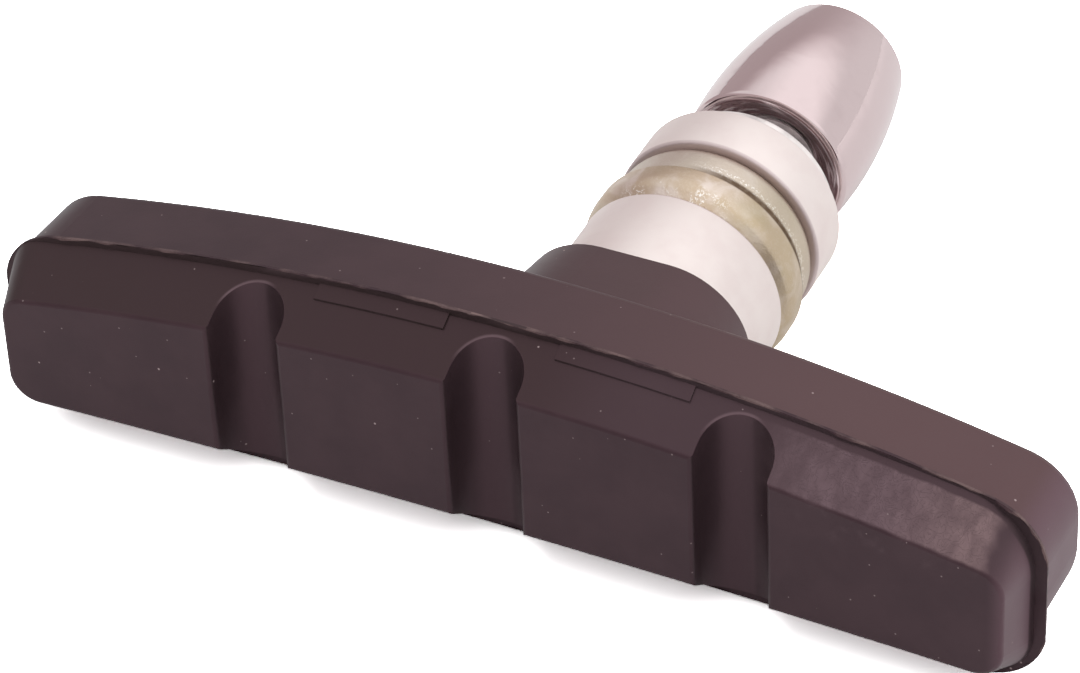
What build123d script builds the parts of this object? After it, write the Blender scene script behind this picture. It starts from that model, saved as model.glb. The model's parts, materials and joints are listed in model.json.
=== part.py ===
from build123d import *
import os
from math import sqrt

# Bicycle rim brake pad with a threaded stud, for a linear-pull brake. All sizes are in millimetres.
# The origin is where the stud's axis meets the rubbing face. +X runs along the pad, +Y runs along
# the stud from the rubbing face to the nut, and +Z is up, on the pad's convex side.

# Rubber moulding: lengths and depths
pad_middle_x = -3.3
face_length = 68.6
front_depth = 3.9
pad_depth = 10.0
boss_length = 5.0

# Rubber moulding: heights above and below the stud's axis, at the pad's middle
face_top = 7.05
face_bottom = -3.7
top_curve_radius = 171.0
bottom_curve_radius = 800.0

# Rubber moulding: how far each side of the rubbing block leans out towards the parting line
top_flare = 2.0
bottom_flare = 3.0
left_flare = 1.15
right_flare = 0.55

# Rubber moulding: corners of the rubbing block, at its face and at the parting line
face_corner_radius = 1.9
front_left_radius = 2.5
front_right_top_radius = 5.0
front_right_bottom_radius = 3.2

# Rubber moulding: the back section's step at the parting line, its curve, draft and corners. Its right
# end leans out a little towards the back.
top_ledge = 0.28
left_ledge = 0.5
right_ledge = 0.52
back_middle_x = -3.9
back_curve_radius = 158.0
back_draft = 0.38
back_right_lean = 0.15
back_left_radius = 4.7
back_right_top_radius = 4.6
back_right_bottom_radius = 6.6
back_edge_radius = 0.6

# Rubber moulding: the thin flash that the mould leaves at its parting line, fullest at its lower right corner
flash_width = 0.25
flash_thickness = 0.2
flash_full_corner_radius = 4.2

# Rubber moulding: water grooves across the rubbing block
groove_count = 3
groove_pitch = 16.6
groove_width = 4.86
groove_depth = 3.35
crease_radius = 0.3

# Rubber moulding: plain raised strips on the sloping faces of the two middle blocks
strip_length = 9.0
strip_depth = 0.95
strip_height = 0.15

# Rubber moulding: boss round the stud, at its end and then at the back section
boss_middle_x = 0.35
boss_end_width = 15.6
boss_end_top = 7.8
boss_end_bottom = -5.9
boss_corner_radius = 5.45
boss_draft = 0.5
boss_top_rise = 0.98

# Metal insert
plate_length = 46.0
plate_web = 1.5
plate_thickness = 1.2
head_radius = 4.8
head_thickness = 1.5
insert_cover = 4.7

# Stud and nut thread, modelled at its outside size
stud_radius = 3.0
thread_clearance = 0.05
stud_chamfer = 0.5

# Spherical washers: the outside of the concave ones, and how far the convex ones differ from it
washer_radius = 7.2
inner_washer_overhang = 0.3
outer_washer_inset = 0.2
washer_bore_radius = 3.6
dome_radius = 10.0
seat_land = 0.8
seat_clearance = 0.02
inner_land = 1.68
outer_land = 2.57
thick_rim_length = 7.3
thin_rim_length = 3.8
washer_chamfer = 0.2

# Flat washer
flat_washer_radius = 6.1
flat_washer_bore_radius = 3.2
flat_washer_thickness = 1.6
flat_washer_chamfer = 0.25

# Cap nut
nut_gap = 2.4
nut_length = 12.8
nut_mouth_radius = 5.8
nut_waist_radius = 5.95
nut_waist_share = 0.4
nut_tip_radius = 4.75
nut_lip_radius = 0.35
nut_tip_rounding = 0.8
nut_cone_radius = 5.2
nut_cone_depth = 1.5
socket_flats = 5.0
socket_depth = 5.0
socket_chamfer = 0.4
stud_end_gap = 0.5


def dome_reach(radius, dome=dome_radius):
    """Distance along the axis from a dome's centre to its circle of the given radius."""
    return sqrt(dome**2 - radius**2)


# Outside radii of the convex washers, and the mouth of the concave ones' ball seats
inner_washer_radius = washer_radius + inner_washer_overhang
outer_washer_radius = washer_radius - outer_washer_inset
seat_mouth_radius = washer_radius - seat_land

# Places along the stud, from the rubbing face outwards
head_start = insert_cover
plate_start = head_start + head_thickness
plate_end = plate_start + plate_thickness
boss_end = pad_depth + boss_length
thick_rim = boss_end + thick_rim_length
inner_centre = thick_rim + dome_reach(seat_mouth_radius)
washer_seam = inner_centre - dome_reach(inner_washer_radius) + inner_land
outer_centre = washer_seam + outer_land - dome_reach(outer_washer_radius)
thin_rim = outer_centre + dome_reach(seat_mouth_radius)
thin_end = thin_rim + thin_rim_length
flat_end = thin_end + flat_washer_thickness
nut_start = flat_end + nut_gap
nut_end = nut_start + nut_length
socket_floor = nut_end - socket_depth
stud_end = socket_floor - stud_end_gap
nut_bore_radius = stud_radius + thread_clearance
socket_corner_radius = socket_flats / sqrt(3)

# Edges of the rubbing block, at its face and at the parting line
face_left = pad_middle_x - face_length / 2
face_right = pad_middle_x + face_length / 2
front_left = face_left - left_flare
front_right = face_right + right_flare
front_top = face_top + top_flare
front_bottom = face_bottom - bottom_flare

# Edges of the back section at the parting line
parting_left = front_left - left_ledge
parting_right = front_right + right_ledge
parting_top = front_top + top_ledge
parting_bottom = front_bottom - top_ledge


def at_depth(depth):
    """Plane across the stud at a depth behind the rubbing face, X to the right and Z up."""
    return Plane.XZ.offset(-depth)


def curve_drop(reach, radius):
    """How far an arc of the given radius falls at a reach to one side of its top."""
    return radius - sqrt(radius**2 - reach**2)


def banana(left, right, top, bottom, middle, top_radius):
    """Banana-shaped outline with sharp corners: a convex top over a nearly straight bottom."""
    left_top = top - curve_drop(middle - left, top_radius)
    right_top = top - curve_drop(right - middle, top_radius)
    left_bottom = bottom - curve_drop(middle - left, bottom_curve_radius)
    right_bottom = bottom - curve_drop(right - middle, bottom_curve_radius)
    with BuildSketch() as outline:
        with BuildLine():
            ThreePointArc((left, left_top), (middle, top), (right, right_top))
            Line((right, right_top), (right, right_bottom))
            ThreePointArc((right, right_bottom), (middle, bottom), (left, left_bottom))
            Line((left, left_bottom), (left, left_top))
        make_face()
    return outline.sketch


def rounded(sharp, left_radius, right_top_radius, right_bottom_radius):
    """A sharp outline with its corners rounded, the two left ones alike."""
    with BuildSketch() as outline:
        add(sharp)
        fillet(outline.vertices().group_by(Axis.X)[0], left_radius)
        fillet(outline.vertices().group_by(Axis.X)[-1].sort_by(Axis.Y)[-1], right_top_radius)
        fillet(outline.vertices().group_by(Axis.X)[-1].sort_by(Axis.Y)[0], right_bottom_radius)
    return outline.sketch


def back_outline(grow, right_grow, right_bottom_radius):
    """Outline of the back section, larger than at the parting line by grow, and right_grow at its right."""
    left = parting_left - grow
    right = parting_right + right_grow
    top = parting_top + grow
    bottom = parting_bottom - grow
    return rounded(
        banana(left, right, top, bottom, back_middle_x, back_curve_radius),
        back_left_radius + grow,
        back_right_top_radius + grow,
        right_bottom_radius + grow,
    )


def groove_outline():
    """Section of one water groove: open at the rubbing face, with a round floor."""
    half = groove_width / 2
    wall_end = groove_depth - half
    with BuildSketch() as outline:
        with BuildLine():
            Polyline((-half, wall_end), (-half, -half), (half, -half), (half, wall_end))
            ThreePointArc((half, wall_end), (0, groove_depth), (-half, wall_end))
        make_face()
    return outline.sketch


def boss_outline(grow, rise):
    """Rounded outline of the boss, larger than at its end by grow, and by rise at its top."""
    top = boss_end_top + rise
    bottom = boss_end_bottom - grow
    with BuildSketch() as outline:
        with Locations((boss_middle_x, (top + bottom) / 2)):
            RectangleRounded(boss_end_width + 2 * grow, top - bottom, boss_corner_radius + grow)
    return outline.sketch


def plate_outline():
    """Backing plate seen from the front, with fully rounded ends."""
    with BuildSketch() as outline:
        with Locations((pad_middle_x, 0)):
            SlotOverall(plate_length, 2 * (stud_radius + plate_web))
    return outline.sketch


def concave_profile(flat_side, rim, centre):
    """Half section of a concave washer between its flat side and its rim, with its ball seat."""
    ball = dome_radius + seat_clearance
    towards_seat = 1 if rim > flat_side else -1
    mouth = sqrt(ball**2 - (rim - centre) ** 2)
    seat_floor = centre - towards_seat * dome_reach(washer_bore_radius, ball)
    seat_middle_radius = (mouth + washer_bore_radius) / 2
    seat_middle = centre - towards_seat * dome_reach(seat_middle_radius, ball)
    with BuildSketch() as section:
        with BuildLine():
            Polyline(
                (mouth, rim),
                (washer_radius, rim),
                (washer_radius, flat_side),
                (washer_bore_radius, flat_side),
                (washer_bore_radius, seat_floor),
            )
            ThreePointArc(
                (washer_bore_radius, seat_floor),
                (seat_middle_radius, seat_middle),
                (mouth, rim),
            )
        make_face()
        outer_corners = section.vertices().group_by(Axis.X)[-1]
        chamfer(outer_corners, washer_chamfer)
    return section.sketch


def convex_profile(flat_side, centre, rim_radius):
    """Half section of a convex washer: a flat side, a short land and a dome about the centre."""
    towards_dome = 1 if flat_side > centre else -1
    dome_middle_radius = (rim_radius + washer_bore_radius) / 2
    land_end = centre + towards_dome * dome_reach(rim_radius)
    dome_middle = centre + towards_dome * dome_reach(dome_middle_radius)
    dome_end = centre + towards_dome * dome_reach(washer_bore_radius)
    with BuildSketch() as section:
        with BuildLine():
            Polyline(
                (washer_bore_radius, dome_end),
                (washer_bore_radius, flat_side),
                (rim_radius, flat_side),
                (rim_radius, land_end),
            )
            ThreePointArc(
                (rim_radius, land_end),
                (dome_middle_radius, dome_middle),
                (washer_bore_radius, dome_end),
            )
        make_face()
        outer_corners = section.vertices().group_by(Axis.X)[-1]
        chamfer(outer_corners, washer_chamfer)
    return section.sketch


# Raised strips: slices of a block that stands proud of the sloping faces, one on each middle block
strip_middle = front_depth - strip_depth / 2
with BuildPart() as raised_strips:
    with BuildSketch(at_depth(0)):
        add(banana(face_left, face_right, face_top + strip_height, 0, pad_middle_x, top_curve_radius))
    with BuildSketch(at_depth(front_depth)):
        add(banana(front_left, front_right, front_top + strip_height, 0, pad_middle_x, top_curve_radius))
    loft(ruled=True)
    with BuildSketch(Plane.XY):
        with Locations((pad_middle_x, strip_middle)):
            with GridLocations(groove_pitch, 1, groove_count - 1, 1):
                Rectangle(strip_length, strip_depth)
    extrude(amount=2 * front_top, mode=Mode.INTERSECT)

# Rubber pad: the rubbing block, the back section and the boss are one moulding
groove_length = 4 * (front_top - front_bottom)

with BuildPart() as rubber_pad:
    # Rubbing block, leaning out from its face to the parting line
    with BuildSketch(at_depth(0)):
        add(
            rounded(
                banana(face_left, face_right, face_top, face_bottom, pad_middle_x, top_curve_radius),
                face_corner_radius,
                face_corner_radius,
                face_corner_radius,
            )
        )
    with BuildSketch(at_depth(front_depth)):
        add(
            rounded(
                banana(front_left, front_right, front_top, front_bottom, pad_middle_x, top_curve_radius),
                front_left_radius,
                front_right_top_radius,
                front_right_bottom_radius,
            )
        )
    loft(ruled=True)

    # Water grooves, straight through the block from top to bottom
    with BuildSketch(Plane.XY.offset(-groove_length / 2)):
        with Locations((pad_middle_x, 0)):
            with GridLocations(groove_pitch, 1, groove_count, 1):
                add(groove_outline())
    extrude(amount=groove_length, mode=Mode.SUBTRACT)
    fillet(faces().filter_by(Axis.Y).group_by(Axis.Y)[0].edges(), crease_radius)
    add(raised_strips.part)

    # Back section, from the parting line to the back, with its edge rounded
    with BuildSketch(at_depth(front_depth)):
        add(back_outline(0, 0, back_right_bottom_radius))
    with BuildSketch(at_depth(pad_depth)):
        add(back_outline(-back_draft, back_right_lean, back_right_bottom_radius))
    loft(ruled=True)
    fillet(faces().sort_by(Axis.Y)[-1].edges(), back_edge_radius)

    # Flash left by the mould all round the parting line
    with BuildSketch(at_depth(front_depth)):
        add(back_outline(flash_width, flash_width, flash_full_corner_radius))
    extrude(amount=-flash_thickness)

    # Boss round the stud, its top running on from the top of the back section
    with BuildSketch(at_depth(pad_depth - back_edge_radius)):
        add(boss_outline(boss_draft, boss_top_rise))
    with BuildSketch(at_depth(boss_end)):
        add(boss_outline(0, 0))
    loft(ruled=True)

    # Space filled by the metal insert: the stud's head, the backing plate and the shank
    with BuildSketch(at_depth(head_start)):
        Circle(head_radius)
    extrude(amount=-head_thickness, mode=Mode.SUBTRACT)
    with BuildSketch(at_depth(plate_start)):
        add(plate_outline())
    extrude(amount=-plate_thickness, mode=Mode.SUBTRACT)
    with BuildSketch(at_depth(plate_end)):
        Circle(stud_radius)
    extrude(amount=-(boss_end - plate_end), mode=Mode.SUBTRACT)
rubber_pad.part.label = "rubber_pad"

# Backing plate: a flat steel strip with a hole for the stud's shank
with BuildPart() as backing_plate:
    with BuildSketch(at_depth(plate_start)):
        add(plate_outline())
        Circle(stud_radius, mode=Mode.SUBTRACT)
    extrude(amount=-plate_thickness)
backing_plate.part.label = "backing_plate"

# Threaded stud: a flat head under the plate and a long shank with a chamfered tip
with BuildPart() as threaded_stud:
    with BuildSketch(at_depth(head_start)):
        Circle(head_radius)
    extrude(amount=-head_thickness)
    with BuildSketch(at_depth(plate_start)):
        Circle(stud_radius)
    extrude(amount=-(stud_end - plate_start))
    chamfer(faces().sort_by(Axis.Y)[-1].edges(), stud_chamfer)
threaded_stud.part.label = "threaded_stud"

# Thick concave spacer: its flat side on the boss, its ball seat towards the washers
with BuildPart() as thick_concave_spacer:
    with BuildSketch(Plane.XY):
        add(concave_profile(boss_end, thick_rim, inner_centre))
    revolve(axis=Axis.Y)
thick_concave_spacer.part.label = "thick_concave_spacer"

# Inner convex washer: its dome in the thick spacer's seat
with BuildPart() as inner_convex_washer:
    with BuildSketch(Plane.XY):
        add(convex_profile(washer_seam, inner_centre, inner_washer_radius))
    revolve(axis=Axis.Y)
inner_convex_washer.part.label = "inner_convex_washer"

# Outer convex washer: flat side to flat side with the inner one, its dome the other way
with BuildPart() as outer_convex_washer:
    with BuildSketch(Plane.XY):
        add(convex_profile(washer_seam, outer_centre, outer_washer_radius))
    revolve(axis=Axis.Y)
outer_convex_washer.part.label = "outer_convex_washer"

# Thin concave washer: its ball seat on the outer dome, its flat side to the nut
with BuildPart() as thin_concave_washer:
    with BuildSketch(Plane.XY):
        add(concave_profile(thin_end, thin_rim, outer_centre))
    revolve(axis=Axis.Y)
thin_concave_washer.part.label = "thin_concave_washer"

# Flat washer, between the thin concave washer and the nut
with BuildPart() as flat_washer:
    with BuildSketch(at_depth(thin_end)):
        Circle(flat_washer_radius)
        Circle(flat_washer_bore_radius, mode=Mode.SUBTRACT)
    extrude(amount=-flat_washer_thickness)
    chamfer(faces().sort_by(Axis.Y)[-1].outer_wire().edges(), flat_washer_chamfer)
flat_washer.part.label = "flat_washer"

# Cap nut: a long convex barrel, a conical mouth, an M6 bore and a hexagon socket in its tip
nut_waist = nut_start + nut_length * nut_waist_share
with BuildPart() as cap_nut:
    with BuildSketch(Plane.XY):
        with BuildLine():
            side = ThreePointArc(
                (nut_mouth_radius, nut_start),
                (nut_waist_radius, nut_waist),
                (nut_tip_radius, nut_end),
            )
            Line(side @ 1, (0, nut_end))
            Line((0, nut_end), (0, nut_start))
            Line((0, nut_start), side @ 0)
        make_face()
    revolve(axis=Axis.Y)
    fillet(faces().filter_by(Axis.Y).sort_by(Axis.Y)[-1].edges(), nut_tip_rounding)
    fillet(faces().filter_by(Axis.Y).sort_by(Axis.Y)[0].edges(), nut_lip_radius)

    # Conical mouth
    with BuildSketch(Plane.XY):
        with BuildLine():
            Polyline(
                (0, nut_start),
                (nut_cone_radius, nut_start),
                (nut_bore_radius, nut_start + nut_cone_depth),
                (0, nut_start + nut_cone_depth),
                close=True,
            )
        make_face()
    revolve(axis=Axis.Y, mode=Mode.SUBTRACT)

    # Threaded bore, up to the floor of the socket
    with BuildSketch(at_depth(nut_start)):
        Circle(nut_bore_radius)
    extrude(amount=-(socket_floor - nut_start), mode=Mode.SUBTRACT)

    # Hexagon socket, chamfered at its mouth
    with BuildSketch(at_depth(nut_end)):
        RegularPolygon(socket_flats / 2, 6, major_radius=False)
    extrude(amount=socket_depth, mode=Mode.SUBTRACT)
    with BuildSketch(Plane.XY):
        with BuildLine():
            Polyline(
                (0, nut_end),
                (socket_corner_radius + socket_chamfer, nut_end),
                (socket_corner_radius, nut_end - socket_chamfer),
                (0, nut_end - socket_chamfer),
                close=True,
            )
        make_face()
    revolve(axis=Axis.Y, mode=Mode.SUBTRACT)
cap_nut.part.label = "cap_nut"

os.makedirs("parts", exist_ok=True)
export_step(rubber_pad.part, "parts/rubber_pad.step")
export_step(backing_plate.part, "parts/backing_plate.step")
export_step(threaded_stud.part, "parts/threaded_stud.step")
export_step(thick_concave_spacer.part, "parts/thick_concave_spacer.step")
export_step(inner_convex_washer.part, "parts/inner_convex_washer.step")
export_step(outer_convex_washer.part, "parts/outer_convex_washer.step")
export_step(thin_concave_washer.part, "parts/thin_concave_washer.step")
export_step(flat_washer.part, "parts/flat_washer.step")
export_step(cap_nut.part, "parts/cap_nut.step")
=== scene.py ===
"""Looks of a bicycle rim brake pad: moulded rubber on a threaded stud with washers and a chrome cap nut.

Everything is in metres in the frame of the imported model. +X runs along the pad, +Y along the stud from
the rubbing face to the nut, and +Z is up.
"""

import json
import logging
import math
import sys
from collections.abc import Callable, Sequence
from dataclasses import dataclass
from enum import Enum

import bpy
from mathutils import Euler, Matrix, Vector

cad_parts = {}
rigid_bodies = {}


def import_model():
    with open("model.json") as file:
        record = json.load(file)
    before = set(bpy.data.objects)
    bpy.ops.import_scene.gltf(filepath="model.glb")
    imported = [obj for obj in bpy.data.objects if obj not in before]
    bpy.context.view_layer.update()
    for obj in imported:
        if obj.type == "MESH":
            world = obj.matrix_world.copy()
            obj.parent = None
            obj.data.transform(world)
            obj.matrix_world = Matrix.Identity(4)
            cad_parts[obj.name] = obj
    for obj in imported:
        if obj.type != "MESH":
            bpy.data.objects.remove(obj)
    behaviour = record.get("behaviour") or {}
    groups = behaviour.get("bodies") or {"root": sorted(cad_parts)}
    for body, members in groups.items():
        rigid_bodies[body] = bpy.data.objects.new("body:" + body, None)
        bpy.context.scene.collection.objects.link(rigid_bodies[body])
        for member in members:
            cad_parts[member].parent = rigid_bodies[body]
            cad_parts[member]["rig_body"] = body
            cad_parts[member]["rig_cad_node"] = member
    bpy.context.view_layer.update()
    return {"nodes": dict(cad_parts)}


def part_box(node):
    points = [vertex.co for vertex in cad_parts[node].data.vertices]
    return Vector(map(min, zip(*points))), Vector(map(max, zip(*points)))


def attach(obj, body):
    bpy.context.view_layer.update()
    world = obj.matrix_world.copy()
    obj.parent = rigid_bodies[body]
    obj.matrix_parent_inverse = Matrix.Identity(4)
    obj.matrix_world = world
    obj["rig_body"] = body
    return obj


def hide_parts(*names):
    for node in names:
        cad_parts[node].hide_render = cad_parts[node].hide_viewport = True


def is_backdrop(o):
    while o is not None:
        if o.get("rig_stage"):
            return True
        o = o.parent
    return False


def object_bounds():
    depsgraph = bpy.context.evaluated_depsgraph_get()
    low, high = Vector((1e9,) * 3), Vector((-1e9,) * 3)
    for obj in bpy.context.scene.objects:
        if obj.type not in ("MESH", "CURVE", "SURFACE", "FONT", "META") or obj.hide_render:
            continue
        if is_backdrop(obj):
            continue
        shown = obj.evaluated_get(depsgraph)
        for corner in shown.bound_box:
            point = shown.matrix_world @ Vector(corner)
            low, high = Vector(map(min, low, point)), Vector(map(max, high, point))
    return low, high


LOG = logging.getLogger("brake_pad")

MM = 0.001
MERGE_DISTANCE = 0.001 * MM
SPIN_STEPS = 144
BALL_STEPS = 12
SMOOTH_ANGLE = math.radians(30)
ROUNDING_STEPS = 4
PICK_REACH = 10 * MERGE_DISTANCE
SPECK_CORE = 0.6

Triple = tuple[float, float, float]
Colour = Triple
Point = tuple[float, float]
Span = tuple[float, float]
Corner = Point | Triple
Object = bpy.types.Object
Material = bpy.types.Material
Socket = bpy.types.NodeSocket


class Slot(Enum):
    """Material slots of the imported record."""

    RUBBER = "rubber"
    SILVER = "silver_washer"
    YELLOW = "yellow_washer"
    FLAT = "flat_washer"
    STUD = "stud_steel"
    INSERT = "insert_steel"
    CHROME = "nut_chrome"


class Side(Enum):
    """Which way along the stud a ball seat or a dome looks."""

    TO_PAD = -1
    TO_NUT = 1


class Element(Enum):
    """Kinds of mesh element, each with its select mode and the name of the mesh's list."""

    VERTEX = ("VERT", "vertices")
    EDGE = ("EDGE", "edges")
    FACE = ("FACE", "polygons")


def linear(red: int, green: int, blue: int) -> Colour:
    """Scene-linear colour of a screen colour.

    Args:
        red: Red on screen, 0 to 255.
        green: Green on screen, 0 to 255.
        blue: Blue on screen, 0 to 255.

    Returns:
        The three linear values.
    """

    def one(level: int) -> float:
        """Linear value of one screen level."""
        share = level / 255
        return share / 12.92 if share <= 0.04045 else ((share + 0.055) / 1.055) ** 2.4

    return one(red), one(green), one(blue)


WHITE: Colour = (1.0, 1.0, 1.0)
RUBBER_DARK = linear(41, 31, 34)
# Painted highlight on the ragged flash.
RUBBER_FLASH_HIGHLIGHT = linear(114, 95, 92)
RUBBER_GLOSS: Colour = (1.0, 0.57, 0.69)


def operator(operation: str, reflected: bool = False) -> "Callable[[Value, Value | float], Value]":
    """Makes the method of Value that adds one Math node.

    Args:
        operation: What the node does, such as ADD.
        reflected: Whether the value stands on the right.

    Returns:
        The method.
    """

    def method(value: "Value", other: "Value | float") -> "Value":
        """Result of the operation on the value and another value or number."""
        return value.graph.math(operation, *((other, value) if reflected else (value, other)))

    return method


@dataclass(frozen=True)
class Value:
    """A number that varies over a surface, held as a node's output socket."""

    graph: "Graph"
    socket: Socket

    __add__ = operator("ADD")
    __radd__ = operator("ADD", reflected=True)
    __sub__ = operator("SUBTRACT")
    __rsub__ = operator("SUBTRACT", reflected=True)
    __mul__ = operator("MULTIPLY")
    __rmul__ = operator("MULTIPLY", reflected=True)
    larger = operator("MAXIMUM")

    def blend(self, low: "Value | float", high: "Value | float" = 1.0) -> "Value":
        """What goes from low to high as the value goes from 0 to 1."""
        return low + (high - low) * self

    def rise(self, low: float, high: float) -> "Value":
        """Smooth step between two levels.

        Args:
            low: Level at which the result is 0.
            high: Level at which the result is 1; below low, the step falls instead.

        Returns:
            A value from 0 to 1.
        """
        falls = low > high
        inputs = {"Value": self, "From Min": min(low, high), "From Max": max(low, high)}
        inputs |= {"To Min": float(falls), "To Max": float(not falls)}
        settings = {"interpolation_type": "SMOOTHSTEP", "clamp": True}
        return Value(self.graph, self.graph.node("ShaderNodeMapRange", settings, inputs).outputs[0])

    def between(self, start: float, end: float, softness: float) -> "Value":
        """Band that is 1 from start to end and fades to 0 outside them over softness."""
        return self.rise(start - softness, start) * self.rise(end + softness, end)


@dataclass(frozen=True)
class Pattern:
    """A noise pattern.

    Args:
        size: Size of its blotches, in metres.
        band: Levels between which the blotches show.
        detail: How many finer layers it has.
        swirl: How far it is distorted.
        stretch: Scale of each coordinate, for blotches that run one way.
    """

    size: float
    band: Span = (0.0, 1.0)
    detail: float = 3.0
    swirl: float = 0.0
    stretch: Triple | None = None


class Graph:
    """The nodes of one material, or of the world."""

    def __init__(self, tree: bpy.types.NodeTree) -> None:
        """Takes a node tree and empties it."""
        self.tree = tree
        tree.nodes.clear()

    def node(self, kind: str, settings: dict | None = None, inputs: dict | None = None) -> bpy.types.Node:
        """Adds one node.

        Args:
            kind: The node's type.
            settings: Its settings, set first.
            inputs: Numbers, colours, values or sockets by the input's name or index.

        Returns:
            The node.
        """
        made = self.tree.nodes.new(kind)
        for name, setting in (settings or {}).items():
            setattr(made, name, setting)
        for key, given in (inputs or {}).items():
            self.feed(made.inputs[key], given)
        return made

    def feed(self, socket: Socket, given: object) -> None:
        """Links or sets one input socket.

        Args:
            socket: The input.
            given: A value or a socket to link, or a number, vector or colour to set.
        """
        if isinstance(given, Value):
            self.tree.links.new(given.socket, socket)
        elif isinstance(given, Socket):
            self.tree.links.new(given, socket)
        elif socket.type == "RGBA" and len(given) == 3:
            socket.default_value = (*given, 1.0)
        else:
            socket.default_value = given

    def math(self, operation: str, *operands: Value | float) -> Value:
        """Result of one Math node, such as ADD, with its inputs in order."""
        inputs = dict(enumerate(operands))
        return Value(self, self.node("ShaderNodeMath", {"operation": operation}, inputs).outputs[0])

    def distance(self, first: Value, second: Value) -> Value:
        """Distance from the origin of a point with two coordinates."""
        return self.math("SQRT", first * first + second * second)

    def mix(self, share: Value, first: object, second: object) -> Socket:
        """Mix of two colours or colour sockets; share says how much of the second shows."""
        settings = {"data_type": "RGBA", "clamp_factor": True}
        return self.node("ShaderNodeMix", settings, {0: share, 6: first, 7: second}).outputs[2]

    def axes(self, place: Socket) -> tuple[Value, Value, Value]:
        """The three coordinates of a point, as values."""
        split = self.node("ShaderNodeSeparateXYZ", None, {0: place})
        return Value(self, split.outputs[0]), Value(self, split.outputs[1]), Value(self, split.outputs[2])


class Surface(Graph):
    """A material with one shader, whose colour and relief are laid on coat by coat."""

    def __init__(self, name: str, base: Colour) -> None:
        """Makes the material.

        Args:
            name: The material's name.
            base: Its colour under every coat.
        """
        self.material = bpy.data.materials.new(name)
        self.material.use_nodes = True
        super().__init__(self.material.node_tree)
        self.place = self.node("ShaderNodeTexCoord").outputs["Object"]
        self.x, self.y, self.z = self.axes(self.place)
        self.colour: Colour | Socket = base
        self.relief: Socket | None = None

    def noise(self, pattern: Pattern, place: Socket | None = None) -> Value:
        """Soft noise about 0.5.

        Args:
            pattern: What it looks like.
            place: Where it is read, if not at the surface's own point.

        Returns:
            A value from 0 to 1.
        """
        place = place or self.place
        if pattern.stretch:
            squeezed = {0: place, 3: pattern.stretch}
            place = self.node("ShaderNodeMapping", {"vector_type": "POINT"}, squeezed).outputs[0]
        inputs = {"Vector": place, "Scale": 1 / pattern.size}
        inputs |= {"Detail": pattern.detail, "Distortion": pattern.swirl}
        return Value(self, self.node("ShaderNodeTexNoise", None, inputs).outputs[0])

    def blotches(self, pattern: Pattern) -> Value:
        """Noise risen over its pattern's band, from 0 to 1."""
        return self.noise(pattern).rise(*pattern.band)

    def specks(self, cell: float, radius: float) -> Value:
        """Small round specks scattered at random.

        Args:
            cell: Mean distance between specks, in metres.
            radius: Radius of the largest speck, in metres.

        Returns:
            A value that is 1 in a speck and 0 outside.
        """
        inputs = {"Vector": self.place, "Scale": 1 / cell}
        cells = self.node("ShaderNodeTexVoronoi", {"feature": "F1"}, inputs)
        largest = radius / cell
        return Value(self, cells.outputs["Distance"]).rise(largest, SPECK_CORE * largest)

    def coat(self, share: Value, colour: Colour | Socket) -> None:
        """Lays a colour over the present one, as far as share says."""
        self.colour = self.mix(share, self.colour, colour)

    def emboss(self, height: Value, distance: float) -> None:
        """Adds finer relief.

        Args:
            height: The relief, 0 to 1.
            distance: How high 1 stands, in metres.
        """
        inputs = {"Height": height, "Distance": distance, "Strength": 1.0}
        if self.relief is not None:
            inputs["Normal"] = self.relief
        self.relief = self.node("ShaderNodeBump", None, inputs).outputs[0]

    def finish(self, roughness: Value | float, metal: Value | float = 0.0, gloss: Colour = WHITE) -> Material:
        """Adds the shader.

        Args:
            roughness: How rough it is.
            metal: How far it is metal.
            gloss: Tint of the gloss on what isn't metal.

        Returns:
            The finished material.
        """
        inputs = {"Base Color": self.colour, "Metallic": metal, "Roughness": roughness}
        inputs |= {"Specular Tint": gloss, "Normal": self.relief}
        shader = self.node("ShaderNodeBsdfPrincipled", None, inputs)
        self.node("ShaderNodeOutputMaterial", None, {"Surface": shader.outputs[0]})
        return self.material


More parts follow.
